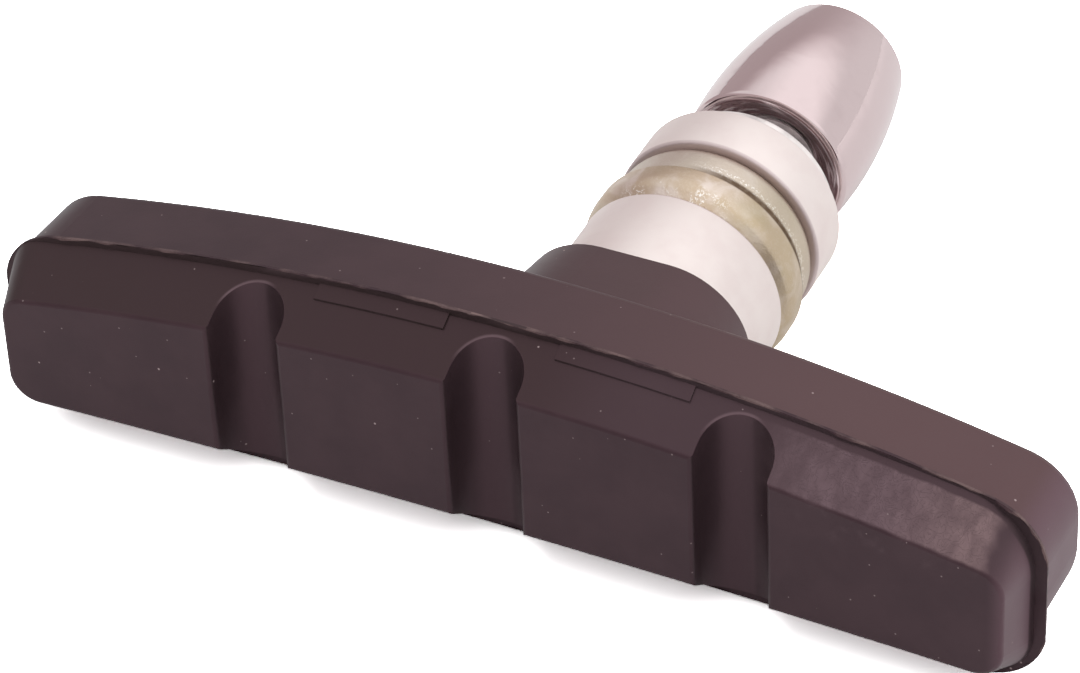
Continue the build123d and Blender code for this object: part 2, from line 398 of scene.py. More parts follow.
@dataclass(frozen=True)
class MouldedRubber:
    """Black rubber with a brown cast, a soft mould gloss, fine dust and one face worn by scuffing; its
    slopes, groove floors, groove lips, flash, back and right end carry painted light and shade.

    Spans named along, depth and height lie along the pad, along the stud and upwards.
    """

    light: Colour = linear(50, 38, 41)
    # Scuff colour, also used for the painted highlight on the groove lips.
    scuff_and_lip_highlight: Colour = linear(106, 88, 93)
    rubbed: Colour = linear(128, 107, 108)
    # Painted sheen on the back, lighter to the right, and on the right end.
    back_sheen: Colour = linear(79, 60, 60)
    end_sheen: Colour = linear(92, 71, 78)
    # Painted shade on the sloping faces, lighter towards the right.
    slope_shade: Colour = linear(35, 29, 26)
    right_slope_light: Colour = linear(53, 44, 46)
    # Painted light on the groove floors.
    groove_floor_light: Colour = linear(62, 48, 52)
    dust: Colour = linear(168, 150, 150)
    roughness: float = 0.36
    mottle_roughness: float = 0.1
    patch_roughness: float = 0.22
    dust_roughness: float = 0.4
    fade: float = 0.2 * MM
    mottle: Pattern = Pattern(4 * MM, (0.3, 0.7))
    ripple: Pattern = Pattern(2.6 * MM, detail=2.0)
    ripple_height: float = 0.02 * MM
    grain: Pattern = Pattern(0.12 * MM, detail=2.0)
    grain_height: float = 0.004 * MM
    clean: Pattern = Pattern(9 * MM, (0.36, 0.52), 1.0)
    dust_specks: Span = (2.2 * MM, 0.095 * MM)
    fine_specks: Span = (1.4 * MM, 0.072 * MM)
    fine_share: float = 0.45
    slope_depth: Span = (0.25 * MM, 4 * MM)
    slope_height: Span = (-0.5 * MM, 0.5 * MM)
    slope_along: Span = (-1 * MM, 7 * MM)
    slope_least: float = 0.6
    back_depth: Span = (4.1 * MM, 4.5 * MM)
    back_along: Span = (-24 * MM, 24 * MM)
    end_along: Span = (29.8 * MM, 31.6 * MM)
    seam_depth: Span = (3.4 * MM, 4.2 * MM)
    flash_highlight: Pattern = Pattern(1.3 * MM, (0.42, 0.62), 4.0, stretch=(0.5, 1.0, 1.0))
    flash_depth: Span = (3.94 * MM, 4.12 * MM)
    flash_fade: float = 0.01 * MM
    pad_middle: float = -3.3 * MM
    groove_pitch: float = 16.6 * MM
    outermost_groove: float = 1.2
    groove_wall: float = 0.92 * MM
    groove_edge: Span = (2.46 * MM, 2.44 * MM)
    groove_depth: Span = (0.02 * MM, 0.1 * MM)
    floor_light_least: float = 0.4
    layer_share: float = 0.5
    floor_light_wall: Span = (-2.1 * MM, -1.4 * MM)
    floor_light_end: Span = (0.4 * MM, 0.0)
    lip_edge: Span = (2.43 * MM, 2.53 * MM)
    lip_fade: float = 0.15 * MM
    lip_depth: Span = (1.3 * MM, 2.6 * MM)
    lip_across: Span = (1.2 * MM, 0.0)
    lip_least: float = 0.25
    wander: Pattern = Pattern(1.6 * MM)
    wander_along: float = 1.2 * MM
    wander_depth: float = 0.3 * MM
    scuff_start: Span = (13 * MM, 19 * MM)
    scuff_end: Span = (30 * MM, 29.1 * MM)
    scuff_depth: Span = (0.2 * MM, 3.35 * MM)
    scuff_height: Span = (2.5 * MM, 3.5 * MM)
    scuff_cloud: Pattern = Pattern(0.8 * MM, (0.3, 0.7), 6.0, 0.3, (1.0, 0.45, 0.45))
    scuff_shares: Triple = (0.42, 0.42, 0.15)
    rub_along: Span = (22 * MM, 29.3 * MM)
    curls: Pattern = Pattern(0.8 * MM, (0.49, 0.5), 2.0, 2.2)
    curls_end: Span = (0.53, 0.505)
    curls_along: Span = (17 * MM, 26 * MM)
    curls_height: float = 0.02 * MM

    def make(self) -> Material:
        """Builds the material."""
        surface = Surface("moulded_rubber", RUBBER_DARK)
        along, depth, height = surface.x, surface.y, surface.z
        mottle = surface.noise(self.mottle)
        surface.coat(mottle.rise(*self.mottle.band), self.light)
        inside, floor_light, lip_highlight = self.grooves(surface)
        # Painted shade: the sloping faces are painted darker and browner, and lighter towards the right.
        sloping = depth.between(*self.slope_depth, self.fade) * height.rise(*self.slope_height)
        slope_shade = surface.mix(along.rise(*self.slope_along), self.slope_shade, self.right_slope_light)
        surface.coat(sloping * (1 - inside) * mottle.blend(self.slope_least), slope_shade)
        # Painted light: the groove floors are painted paler from near the left wall to the middle.
        surface.coat(floor_light, self.groove_floor_light)
        # Painted highlight along the groove lips, in the scuff colour.
        surface.coat(lip_highlight * mottle.blend(self.lip_least), self.scuff_and_lip_highlight)
        # Painted sheen: the back is painted lighter towards the right.
        surface.coat(depth.rise(*self.back_depth) * along.rise(*self.back_along), self.back_sheen)
        # Painted sheen: the right end is painted lighter, apart from the parting seam.
        beside_seam = 1 - depth.between(*self.seam_depth, self.fade)
        surface.coat(along.rise(*self.end_along) * beside_seam, self.end_sheen)
        patch, scratches = self.patch(surface)
        surface.coat(patch, surface.mix(along.rise(*self.rub_along), self.scuff_and_lip_highlight, self.rubbed))
        # Painted highlight: pale blotches along the flash.
        flash_highlight = surface.blotches(self.flash_highlight) * depth.between(*self.flash_depth, self.flash_fade)
        surface.coat(flash_highlight, RUBBER_FLASH_HIGHLIGHT)
        dust = surface.specks(*self.dust_specks) * surface.blotches(self.clean)
        dust = dust.larger(surface.specks(*self.fine_specks) * self.fine_share)
        surface.coat(dust, self.dust)

        surface.emboss(surface.noise(self.ripple), self.ripple_height)
        surface.emboss(scratches * patch, self.curls_height)
        surface.emboss(surface.noise(self.grain), self.grain_height)
        roughness = self.roughness + self.mottle_roughness * mottle
        roughness = roughness + self.patch_roughness * patch + self.dust_roughness * dust
        return surface.finish(roughness, gloss=RUBBER_GLOSS)

    def grooves(self, surface: Surface) -> tuple[Value, Value, Value]:
        """Works out where the water grooves are, the painted light on their floors, and the painted highlight
        along their lips.

        Args:
            surface: The material.

        Returns:
            A value that is 1 in a groove, how much painted light shows on the floor, and how much painted
            highlight shows along the lips.
        """
        depth = surface.y
        from_middle = surface.x - self.pad_middle
        number = surface.math("ROUND", from_middle * (1 / self.groove_pitch))
        across = from_middle - number * self.groove_pitch
        reach = surface.distance(across, (depth - self.groove_wall).larger(0.0))
        outermost = self.outermost_groove * self.groove_pitch
        near = from_middle.between(-outermost, outermost, MM)
        inside = near * reach.rise(*self.groove_edge) * depth.rise(*self.groove_depth)
        floor_light = inside * (self.floor_light_least + self.layer_share * across.rise(*self.floor_light_wall))
        floor_light = floor_light * across.rise(*self.floor_light_end)
        lip_highlight = near * (1 - inside) * reach.between(*self.lip_edge, self.lip_fade)
        lip_highlight = lip_highlight * depth.rise(*self.lip_depth) * across.rise(*self.lip_across)
        return inside, floor_light, lip_highlight

    def patch(self, surface: Surface) -> tuple[Value, Value]:
        """Works out the patch worn by scuffing on the last block's sloping face.

        Args:
            surface: The material.

        Returns:
            How worn each point is, and the scratches in the patch.
        """
        wander = surface.noise(self.wander) - 0.5
        edge = surface.x + self.wander_along * wander
        depth = surface.y + self.wander_depth * wander
        reach = edge.rise(*self.scuff_start) * edge.rise(*self.scuff_end)
        reach = reach * depth.between(*self.scuff_depth, self.fade) * surface.z.rise(*self.scuff_height)
        curls = surface.noise(self.curls)
        scratches = curls.rise(*self.curls.band) * curls.rise(*self.curls_end)
        least, cloudy, scratched = self.scuff_shares
        worn = least + cloudy * surface.blotches(self.scuff_cloud)
        worn = worn + scratched * scratches * surface.x.rise(*self.curls_along)
        return reach * worn, scratches


@dataclass(frozen=True)
class RaggedRubber:
    """The same rubber where the mould's parting line left a ragged edge, with painted highlights in places.
    """

    roughness: float = 0.5
    highlight_blotches: Pattern = Pattern(1.6 * MM, (0.42, 0.64), 4.0, stretch=(0.5, 1.0, 1.0))
    grain: Pattern = Pattern(0.15 * MM, detail=2.0)
    grain_least: float = 0.35
    grain_height: float = 0.03 * MM

    def make(self) -> Material:
        """Builds the material."""
        surface = Surface("ragged_rubber", RUBBER_DARK)
        grain = surface.noise(self.grain)
        # Painted highlight: pale blotches over the grain.
        surface.coat(surface.blotches(self.highlight_blotches) * grain.blend(self.grain_least), RUBBER_FLASH_HIGHLIGHT)
        surface.emboss(grain, self.grain_height)
        return surface.finish(self.roughness, gloss=RUBBER_GLOSS)


@dataclass(frozen=True)
class SatinAluminium:
    """Pale matte aluminium with faint turning marks, a few pits and a grainy machined rim, greyer and darker
    next to it.
    """

    name: str
    rim: float
    base: Colour = linear(241, 231, 228)
    worn: Colour = linear(234, 221, 219)
    speck: Colour = linear(120, 110, 110)
    rim_grey: Colour = linear(206, 190, 190)
    roughness: float = 0.5
    cloud_roughness: float = 0.12
    cloud: Pattern = Pattern(2.2 * MM, (0.35, 0.75))
    worn_share: float = 0.5
    pits: Span = (2.4 * MM, 0.08 * MM)
    grains: Pattern = Pattern(0.22 * MM)
    grains_height: float = 0.008 * MM
    rim_grey_shares: Triple = (0.6, 0.3, 0.1)
    rim_grey_reach: Span = (-0.1 * MM, 0.12 * MM)
    rim_grey_fade: float = 0.16 * MM
    line_pitch: float = 0.16 * MM
    line_height: float = 0.0012 * MM
    tooth: Pattern = Pattern(0.07 * MM, detail=2.0)
    tooth_height: float = 0.003 * MM

    def make(self) -> Material:
        """Builds the material."""
        surface = Surface(self.name, self.base)
        cloud = surface.noise(self.cloud)
        surface.coat(cloud.rise(*self.cloud.band) * self.worn_share, self.worn)
        surface.coat(surface.specks(*self.pits), self.speck)
        grains = surface.noise(self.grains)
        # Greyer and darker in a band next to the rim, in blotches.
        near = (surface.y - self.rim).between(*self.rim_grey_reach, self.rim_grey_fade)
        least, cloudy, grainy = self.rim_grey_shares
        surface.coat(near * (least + cloudy * cloud + grainy * grains), self.rim_grey)
        turned = surface.distance(surface.x, surface.z) + surface.y
        lines = surface.math("SINE", turned * (math.tau / self.line_pitch))
        surface.emboss(lines * 0.5 + 0.5, self.line_height)
        surface.emboss(surface.noise(self.tooth), self.tooth_height)
        surface.emboss(grains * near, self.grains_height)
        return surface.finish(self.roughness + self.cloud_roughness * cloud, 1.0)


@dataclass(frozen=True)
class YellowZinc:
    """Yellow passivated zinc: beige gold with paler clouds, painted glints over its crystal grain, and
    painted brown shade at the seam.

    Spans named behind lie along the stud from the seam, and those named across lie along the pad. The painted
    glints show most near the front, where the washer meets the spacer, and just behind the seam.
    """

    seam: float
    front: float
    gold: Colour = linear(202, 182, 160)
    pale: Colour = linear(226, 212, 202)
    olive: Colour = linear(184, 168, 138)
    outer: Colour = linear(209, 198, 187)
    # Colour of the painted glints.
    white: Colour = linear(252, 248, 244)
    # Colour of the seam line and of the painted shade beside it.
    brown: Colour = linear(92, 68, 48)
    roughness: float = 0.3
    cloud_roughness: float = 0.15
    seam_line_and_shade_roughness: float = 0.2
    cloud: Pattern = Pattern(1.8 * MM, (0.4, 0.7), swirl=0.6)
    tint: Pattern = Pattern(3.5 * MM, (0.45, 0.75), 2.0)
    tint_share: float = 0.7
    outer_behind: Span = (0.0, 0.4 * MM)
    drift: Pattern = Pattern(1.4 * MM, (0.45, 0.6), 2.0)
    front_glint_along: Span = (1.6 * MM, 0.7 * MM)
    front_glint_across: Span = (-3 * MM, 2 * MM)
    front_glint_fade: float = 2 * MM
    edge_behind: Span = (0.85 * MM, 1.25 * MM)
    edge_fade: float = 0.2 * MM
    edge_across: Span = (-1 * MM, 2 * MM)
    crystals: Pattern = Pattern(0.16 * MM, (0.53, 0.6), swirl=0.8)
    crystal_height: float = 0.02 * MM
    glint_least: float = 0.08
    glint_share: float = 0.85
    olive_across: Span = (1 * MM, 6 * MM)
    olive_share: float = 0.4
    blotch: Pattern = Pattern(0.35 * MM, (0.35, 0.6))
    blotch_least: float = 0.88
    seam_line_and_shade_share: float = 0.9
    seam_shade_across: Span = (-1.5 * MM, 2.5 * MM)
    seam_shade_front: Span = (-0.2 * MM, -0.03 * MM)
    seam_shade_behind: Span = (0.98 * MM, 0.72 * MM)
    line_behind: Span = (-0.02 * MM, 0.1 * MM)
    line_fade: float = 0.08 * MM
    dents: Pattern = Pattern(0.7 * MM)
    dent_depth: float = 0.015 * MM

    def make(self) -> Material:
        """Builds the material."""
        surface = Surface("yellow_zinc", self.gold)
        across, behind = surface.x, surface.y - self.seam
        cloud = surface.noise(self.cloud)
        surface.coat(cloud.rise(*self.cloud.band), self.pale)
        surface.coat(surface.blotches(self.tint) * self.tint_share, self.olive)
        surface.coat(behind.rise(*self.outer_behind) * self.tint_share, self.outer)

        # Painted glints: white specks on the crystal grain, most near the front and just behind the seam.
        crystals = surface.noise(self.crystals)
        front_glints = (surface.y - self.front).rise(*self.front_glint_along) * surface.blotches(self.drift)
        front_glints = front_glints * across.between(*self.front_glint_across, self.front_glint_fade)
        edge = behind.between(*self.edge_behind, self.edge_fade) * across.rise(*self.edge_across)
        glints = crystals.rise(*self.crystals.band) * front_glints.larger(edge).blend(self.glint_least)
        surface.coat(glints * self.glint_share, self.white)
        surface.coat(across.rise(*self.olive_across) * self.olive_share, self.olive)

        # Painted shade of the inner washer's step on the outer washer's rim, stronger to the right, joined
        # with the dark line of the seam itself.
        seam_line_and_shade = behind.rise(*self.seam_shade_behind) * behind.rise(*self.seam_shade_front)
        seam_line_and_shade = seam_line_and_shade * across.rise(*self.seam_shade_across)
        seam_line_and_shade = seam_line_and_shade * surface.blotches(self.blotch).blend(self.blotch_least)
        seam_line_and_shade = seam_line_and_shade.larger(behind.between(*self.line_behind, self.line_fade))
        surface.coat(seam_line_and_shade * self.seam_line_and_shade_share, self.brown)

        surface.emboss(surface.noise(self.dents), self.dent_depth)
        surface.emboss(crystals, self.crystal_height)
        roughness = self.roughness + self.cloud_roughness * cloud + self.seam_line_and_shade_roughness * seam_line_and_shade
        return surface.finish(roughness, 1.0)


@dataclass(frozen=True)
class NutChrome:
    """Decorative chrome plating with a warm grey cast and faint smudges, dull and brown in the mouth, with
    painted reflections there.
    """

    mouth: float
    base: Colour = linear(212, 194, 195)
    filmed: Colour = linear(194, 175, 176)
    dull: Colour = linear(150, 122, 124)
    reflection_streak: Colour = linear(236, 220, 222)
    roughness: float = 0.07
    smudges: Pattern = Pattern(2.5 * MM, (0.5, 0.8), 4.0, 0.8)
    layer_share: float = 0.25
    smudge_roughness: float = 0.08
    smudge_band: Span = (0.45, 0.75)
    mouth_reach: Span = (5.45 * MM, 5.3 * MM)
    mouth_depth: Span = (2.2 * MM, 1.76 * MM)
    mouth_roughness: float = 0.12
    mouth_metal_loss: float = 0.2
    streaks: Pattern = Pattern(2.4 * MM, (0.52, 0.62))
    streak_squeeze: float = 4.0
    streak_height: float = 0.12 * MM
    waves: Pattern = Pattern(3.4 * MM, detail=2.0, swirl=0.5)
    wave_height: float = 0.035 * MM

    def make(self) -> Material:
        """Builds the material."""
        surface = Surface("nut_chrome", self.base)
        across, along, up = surface.x, surface.y, surface.z
        radius = surface.distance(across, up)
        smudges = surface.noise(self.smudges)
        surface.coat(smudges.rise(*self.smudges.band) * self.layer_share, self.filmed)
        inside = radius.rise(*self.mouth_reach) * (along - self.mouth).rise(*self.mouth_depth)
        surface.coat(inside, self.dull)
        rings = {0: radius * self.streak_squeeze, 1: along * self.streak_squeeze, 2: across + up}
        streaks = surface.noise(self.streaks, surface.node("ShaderNodeCombineXYZ", None, rings).outputs[0])
        # Painted reflections: pale curved streaks inside the mouth.
        surface.coat(inside * streaks.rise(*self.streaks.band), self.reflection_streak)
        surface.emboss(surface.noise(self.waves), self.wave_height)
        surface.emboss(streaks * inside, self.streak_height)
        roughness = self.roughness + self.smudge_roughness * smudges.rise(*self.smudge_band)
        roughness = roughness + self.mouth_roughness * inside
        return surface.finish(roughness, 1.0 - self.mouth_metal_loss * inside)


@dataclass(frozen=True)
class PlainSteel:
    """Plated steel, rolled or turned, with fine scratches."""

    name: str
    base: Colour
    roughness: float
    metal: float = 1.0
    cloud: Pattern = Pattern(1.5 * MM, (0.35, 0.75), 4.0)
    cloud_level: float = 0.6
    cloud_roughness: float = 0.15
    scratches: Pattern = Pattern(0.6 * MM, stretch=(1.0, 1.0, 12.0))
    scratch_depth: float = 0.004 * MM

    def make(self) -> Material:
        """Builds the material."""
        surface = Surface(self.name, self.base)
        cloud = surface.noise(self.cloud)
        dark = tuple(level * self.cloud_level for level in self.base)
        surface.coat(cloud.rise(*self.cloud.band), dark)
        surface.emboss(surface.noise(self.scratches), self.scratch_depth)
        return surface.finish(self.roughness + self.cloud_roughness * cloud, self.metal)


def clear() -> None:
    """Deselects every object."""
    bpy.ops.object.select_all(action="DESELECT")


def take(piece: Object) -> None:
    """Makes one object the only selected one and the active one."""
    clear()
    piece.select_set(True)
    bpy.context.view_layer.objects.active = piece


def edit(piece: Object) -> None:
    """Takes one object into edit mode."""
    take(piece)
    bpy.ops.object.mode_set(mode="EDIT")


def pick(piece: Object, kind: Element, chosen: Callable[[bpy.types.bpy_struct], bool]) -> None:
    """Selects some of a piece's elements, in edit mode.

    Args:
        piece: The piece.
        kind: The kind of element.
        chosen: Says of one element whether it is selected.
    """
    mode, listed = kind.value
    bpy.ops.mesh.select_mode(type=mode)
    bpy.ops.mesh.select_all(action="DESELECT")
    bpy.ops.object.mode_set(mode="OBJECT")
    for element in getattr(piece.data, listed):
        element.select = chosen(element)
    bpy.ops.object.mode_set(mode="EDIT")


def merge() -> None:
    """Selects everything and merges doubles, in edit mode."""
    bpy.ops.mesh.select_all(action="SELECT")
    bpy.ops.mesh.remove_doubles(threshold=MERGE_DISTANCE)


def cut(point: Sequence[float], outwards: Triple) -> None:
    """Cuts off what lies beyond a plane, where its normal points, and closes the cut, in edit mode."""
    bpy.ops.mesh.select_all(action="SELECT")
    bpy.ops.mesh.bisect(
        plane_co=point,
        plane_no=outwards,
        use_fill=True,
        clear_outer=True,
        threshold=MERGE_DISTANCE,
    )


def close_up(piece: Object) -> None:
    """Merges doubles, turns every face outwards, leaves edit mode and shades the piece."""
    merge()
    bpy.ops.mesh.normals_make_consistent(inside=False)
    bpy.ops.object.mode_set(mode="OBJECT")
    smooth(piece)


def modify(piece: Object, kind: str, settings: dict) -> None:
    """Adds one modifier and applies it.

    Args:
        piece: The piece in object mode.
        kind: The modifier's type.
        settings: Its settings.
    """
    take(piece)
    modifier = piece.modifiers.new(kind.lower(), kind)
    for name, setting in settings.items():
        setattr(modifier, name, setting)
    bpy.ops.object.modifier_apply(modifier=modifier.name)


def smooth(piece: Object) -> None:
    """Shades a piece smooth, apart from its sharp edges."""
    take(piece)
    bpy.ops.object.shade_smooth_by_angle(angle=SMOOTH_ANGLE)


def dress(piece: Object, material: Material, slot: Slot) -> None:
    """Gives a piece its material and its body, and logs the record's slot that it stands for.

    Args:
        piece: The finished piece.
        material: Its material.
        slot: The record's slot that it stands for.
    """
    piece.data.materials.clear()
    piece.data.materials.append(material)
    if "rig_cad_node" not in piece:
        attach(piece, "root")
    LOG.info("%s: %d faces, slot %s", piece.name, len(piece.data.polygons), slot.value)


class Section:
    """Half section of a turned piece, drawn in the XY plane and spun about the stud's axis.

    A corner is its radius, its place along the stud and, if it is rounded, its rounding radius.
    """

    def __init__(self, name: str, start: Corner) -> None:
        """Starts the outline.

        Args:
            name: The piece's name.
            start: The first corner.
        """
        self.roundings: list[tuple[Vector, float]] = []
        self.reach(*start)
        clear()
        bpy.ops.mesh.primitive_plane_add(size=MM)
        self.piece = bpy.context.object
        self.piece.name = self.piece.data.name = name
        bpy.ops.object.mode_set(mode="EDIT")
        bpy.ops.mesh.select_mode(type="VERT")
        bpy.ops.mesh.select_all(action="SELECT")
        bpy.ops.mesh.merge(type="CENTER")
        bpy.ops.transform.translate(value=(*self.end, 0))

    def reach(self, radius: float, station: float, rounding: float = 0.0) -> None:
        """Notes the corner that the outline has come to."""
        self.end = (radius, station)
        if rounding:
            self.roundings.append((Vector((radius, station, 0)), rounding))

    def line(self, *corners: Corner) -> "Section":
        """Draws straight edges to further corners."""
        for corner in corners:
            step = (corner[0] - self.end[0], corner[1] - self.end[1], 0)
            bpy.ops.mesh.extrude_region_move(TRANSFORM_OT_translate={"value": step})
            self.reach(*corner)
        return self

    def ball(
        self, centre: float, side: Side, radius: float, to_radius: float, rounding: float = 0.0
    ) -> "Section":
        """Draws an arc of a ball whose centre is on the stud's axis.

        Args:
            centre: The ball's centre along the stud.
            side: Which side of the centre the arc is on.
            radius: The ball's radius.
            to_radius: Distance from the axis at which the arc ends.
            rounding: Rounding radius of the corner there.

        Returns:
            The section.
        """
        start = self.end[0]
        for step in range(1, BALL_STEPS + 1):
            out = start + (to_radius - start) * step / BALL_STEPS
            self.line((out, centre + side.value * math.sqrt(radius**2 - out**2)))
        self.reach(*self.end, rounding)
        return self

    def arc(self, middle: Point, end: Corner, count: int) -> "Section":
        """Draws a flat arc through a middle point to an end, as a parabola through the three points.

        Args:
            middle: A point that it passes.
            end: Where it ends.
            count: Number of edges.

        Returns:
            The section.
        """
        (r0, y0), (r1, y1), (r2, y2, *_) = self.end, middle, end
        for step in range(1, count + 1):
            y = y0 + (y2 - y0) * step / count
            first = r0 * (y - y1) * (y - y2) / ((y0 - y1) * (y0 - y2))
            second = r1 * (y - y0) * (y - y2) / ((y1 - y0) * (y1 - y2))
            third = r2 * (y - y0) * (y - y1) / ((y2 - y0) * (y2 - y1))
            self.line((first + second + third, y))
        self.reach(*end)
        return self

    def spin(self, steps: int = SPIN_STEPS) -> Object:
        """Closes the outline, rounds its corners and spins it into a closed piece.

        Args:
            steps: Number of faces round the piece.

        Returns:
            The piece, smooth shaded, in object mode.
        """
        merge()
        bpy.ops.mesh.edge_face_add()
        for place, rounding in self.roundings:
            pick(self.piece, Element.VERTEX, lambda vertex, at=place: (vertex.co - at).length < PICK_REACH)
            bpy.ops.mesh.bevel(affect="VERTICES", offset=rounding, segments=ROUNDING_STEPS)
        bpy.ops.mesh.select_all(action="SELECT")
        bpy.ops.mesh.delete(type="ONLY_FACE")
        bpy.ops.mesh.select_all(action="SELECT")
        bpy.ops.mesh.spin(steps=steps, angle=math.tau, center=(0, 0, 0), axis=(0, 1, 0))
        close_up(self.piece)
        return self.piece


@dataclass(frozen=True)
class Extent:
    """Where a round CAD node lies along the stud, and its outside radius."""

    start: float
    end: float
    radius: float

    @classmethod
    def of(cls, node: str) -> "Extent":
        """Reads it from the frame."""
        low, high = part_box(node)
        return cls(low.y, high.y, (high.x - low.x) / 2)


@dataclass
class RubberMoulding:
    """The pad itself and the ragged flash along its parting line."""

    flash_start: float = 3.9 * MM
    flash_end: float = 4.1 * MM
    place_slack: float = 0.02 * MM
    flash_cuts: int = 9
    flash_reach: float = 0.06 * MM
    flash_rag: float = 0.36 * MM
    flash_rag_size: float = 1.3 * MM
    flash_rag_depth: int = 3
    flash_rag_middle: float = 0.45
    rim_slant: float = 0.5
    box_inset: float = 0.01 * MM

    def build(self, node: Object, rubber: Material, ragged: Material) -> None:
        """Dresses the pad and adds its flash.

        Args:
            node: The pad's CAD node.
            rubber: The rubber material.
            ragged: Material of the flash.
        """
        dress(node, rubber, Slot.RUBBER)
        flash = self.flash(node)
        self.trim(flash)
        dress(flash, ragged, Slot.RUBBER)

    def flash(self, node: Object) -> Object:
        """Makes the ragged edge that stands out from the CAD node's own flash.

        Args:
            node: The pad's CAD node.

        Returns:
            The flash, a thin closed ring.
        """
        piece = node.copy()
        mesh = piece.data = node.data.copy()
        piece.name = mesh.name = "parting_flash"
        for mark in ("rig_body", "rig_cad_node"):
            del piece[mark]
        piece.parent = None
        bpy.context.scene.collection.objects.link(piece)

        def depths(element: bpy.types.MeshPolygon | bpy.types.MeshEdge) -> tuple[float, float]:
            """Lowest and highest place along the stud of a face or an edge."""
            places = [mesh.vertices[index].co.y for index in element.vertices]
            return min(places), max(places)

        def off_rim(face: bpy.types.MeshPolygon) -> bool:
            """Says whether a face is outside the flash's outer rim."""
            low, high = depths(face)
            inside = low > self.flash_start - self.place_slack and high < self.flash_end + self.place_slack
            return not (inside and abs(face.normal.y) < self.rim_slant)

        def runs_round(edge: bpy.types.MeshEdge) -> bool:
            """Says whether an edge runs round the pad."""
            low, high = depths(edge)
            return high - low < self.place_slack

        edit(piece)
        merge()
        pick(piece, Element.FACE, off_rim)
        bpy.ops.mesh.delete(type="FACE")
        bpy.ops.mesh.select_all(action="SELECT")
        bpy.ops.mesh.tris_convert_to_quads()
        pick(piece, Element.EDGE, runs_round)
        bpy.ops.mesh.subdivide(number_cuts=self.flash_cuts)
        bpy.ops.object.mode_set(mode="OBJECT")
        edge = piece.vertex_groups.new(name="outer_edge").name
        outwards = {"thickness": self.flash_reach, "offset": 1.0, "shell_vertex_group": edge}
        modify(piece, "SOLIDIFY", outwards)
        rag = bpy.data.textures.new("flash_rag", "CLOUDS")
        rag.noise_scale = self.flash_rag_size
        rag.noise_depth = self.flash_rag_depth
        ragged = {"texture": rag, "texture_coords": "LOCAL", "vertex_group": edge}
        ragged |= {"strength": self.flash_rag, "mid_level": self.flash_rag_middle}
        modify(piece, "DISPLACE", ragged)
        return piece

    def trim(self, piece: Object) -> None:
        """Cuts off what stands out of the pad's box, and closes the cuts.

        Args:
            piece: The flash.
        """
        low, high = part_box("rubber_pad")
        inset = Vector((self.box_inset, self.box_inset, self.box_inset))
        low, high = low + inset, high - inset
        edit(piece)
        for corner, outwards in ((low, (-1, 0, 0)), (high, (1, 0, 0)), (low, (0, 0, -1)), (high, (0, 0, 1))):
            cut(corner, outwards)
        close_up(piece)


@dataclass
class Insert:
    """Metal moulded into the rubber: the threaded stud and its backing plate."""

    pitch: float = 1.0 * MM
    thread_depth: float = 0.61 * MM
    crest_share: float = 0.125
    root_share: float = 0.25
    head_thickness: float = 1.5 * MM
    head_radius: float = 4.8 * MM
    head_rounding: float = 0.2 * MM
    thread_start: float = 16.0 * MM
    stud_radius: float = 3.0 * MM
    thread_steps: int = 72
    tip_scale: float = 0.85

    def build(self, plate: Object, steel: Material, sheet: Material) -> None:
        """Makes the stud and dresses the plate.

        Args:
            plate: The backing plate's CAD node.
            steel: The stud's material.
            sheet: The plate's material.
        """
        stud = self.stud()
        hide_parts("threaded_stud")
        dress(stud, steel, Slot.STUD)
        dress(plate, sheet, Slot.INSERT)

    def stud(self) -> Object:
        """Makes the stud: a turned head and shank, and a real thread from there to its tip."""
        extent = Extent.of("threaded_stud")
        neck = extent.start + self.head_thickness
        shank = Section("threaded_stud_visual", (0, extent.start))
        shank.line(*((self.head_radius, station, self.head_rounding) for station in (extent.start, neck)))
        shank.line((self.stud_radius, neck), (self.stud_radius, self.thread_start), (0, self.thread_start))
        piece = shank.spin(self.thread_steps)
        thread = self.thread(self.thread_start, extent.end)
        take(piece)
        thread.select_set(True)
        bpy.ops.object.join()
        return piece

    def thread(self, start: float, end: float) -> Object:
        """Makes a length of thread.

        Args:
            start: Where it starts along the stud.
            end: Where it ends.

        Returns:
            The thread, closed at both ends.
        """
        root = self.stud_radius - self.thread_depth
        low = start - self.pitch
        crest_half = self.crest_share * self.pitch / 2
        root_half = self.root_share * self.pitch / 2
        middle = low + self.pitch / 2
        form = Section("thread", (root, low))
        form.line(
            (root, low + root_half),
            (self.stud_radius, middle - crest_half),
            (self.stud_radius, middle + crest_half),
            (root, low + self.pitch - root_half),
            (root, low + self.pitch),
        )
        bpy.ops.object.mode_set(mode="OBJECT")
        piece = form.piece
        turns = math.ceil((end - low) / self.pitch) + 1
        helix = {"axis": "Y", "screw_offset": self.pitch, "iterations": turns}
        helix |= {"steps": self.thread_steps, "render_steps": self.thread_steps}
        helix |= {"use_merge_vertices": True, "merge_threshold": MERGE_DISTANCE}
        modify(piece, "SCREW", helix)
        edit(piece)
        cut((0, start, 0), (0, -1, 0))
        cut((0, end, 0), (0, 1, 0))
        pick(piece, Element.VERTEX, lambda vertex: vertex.co.y > end - 2 * MERGE_DISTANCE)
        scale = (self.tip_scale, 1, self.tip_scale)
        bpy.ops.transform.resize(value=scale, center_override=(0, end, 0))
        close_up(piece)
        return piece


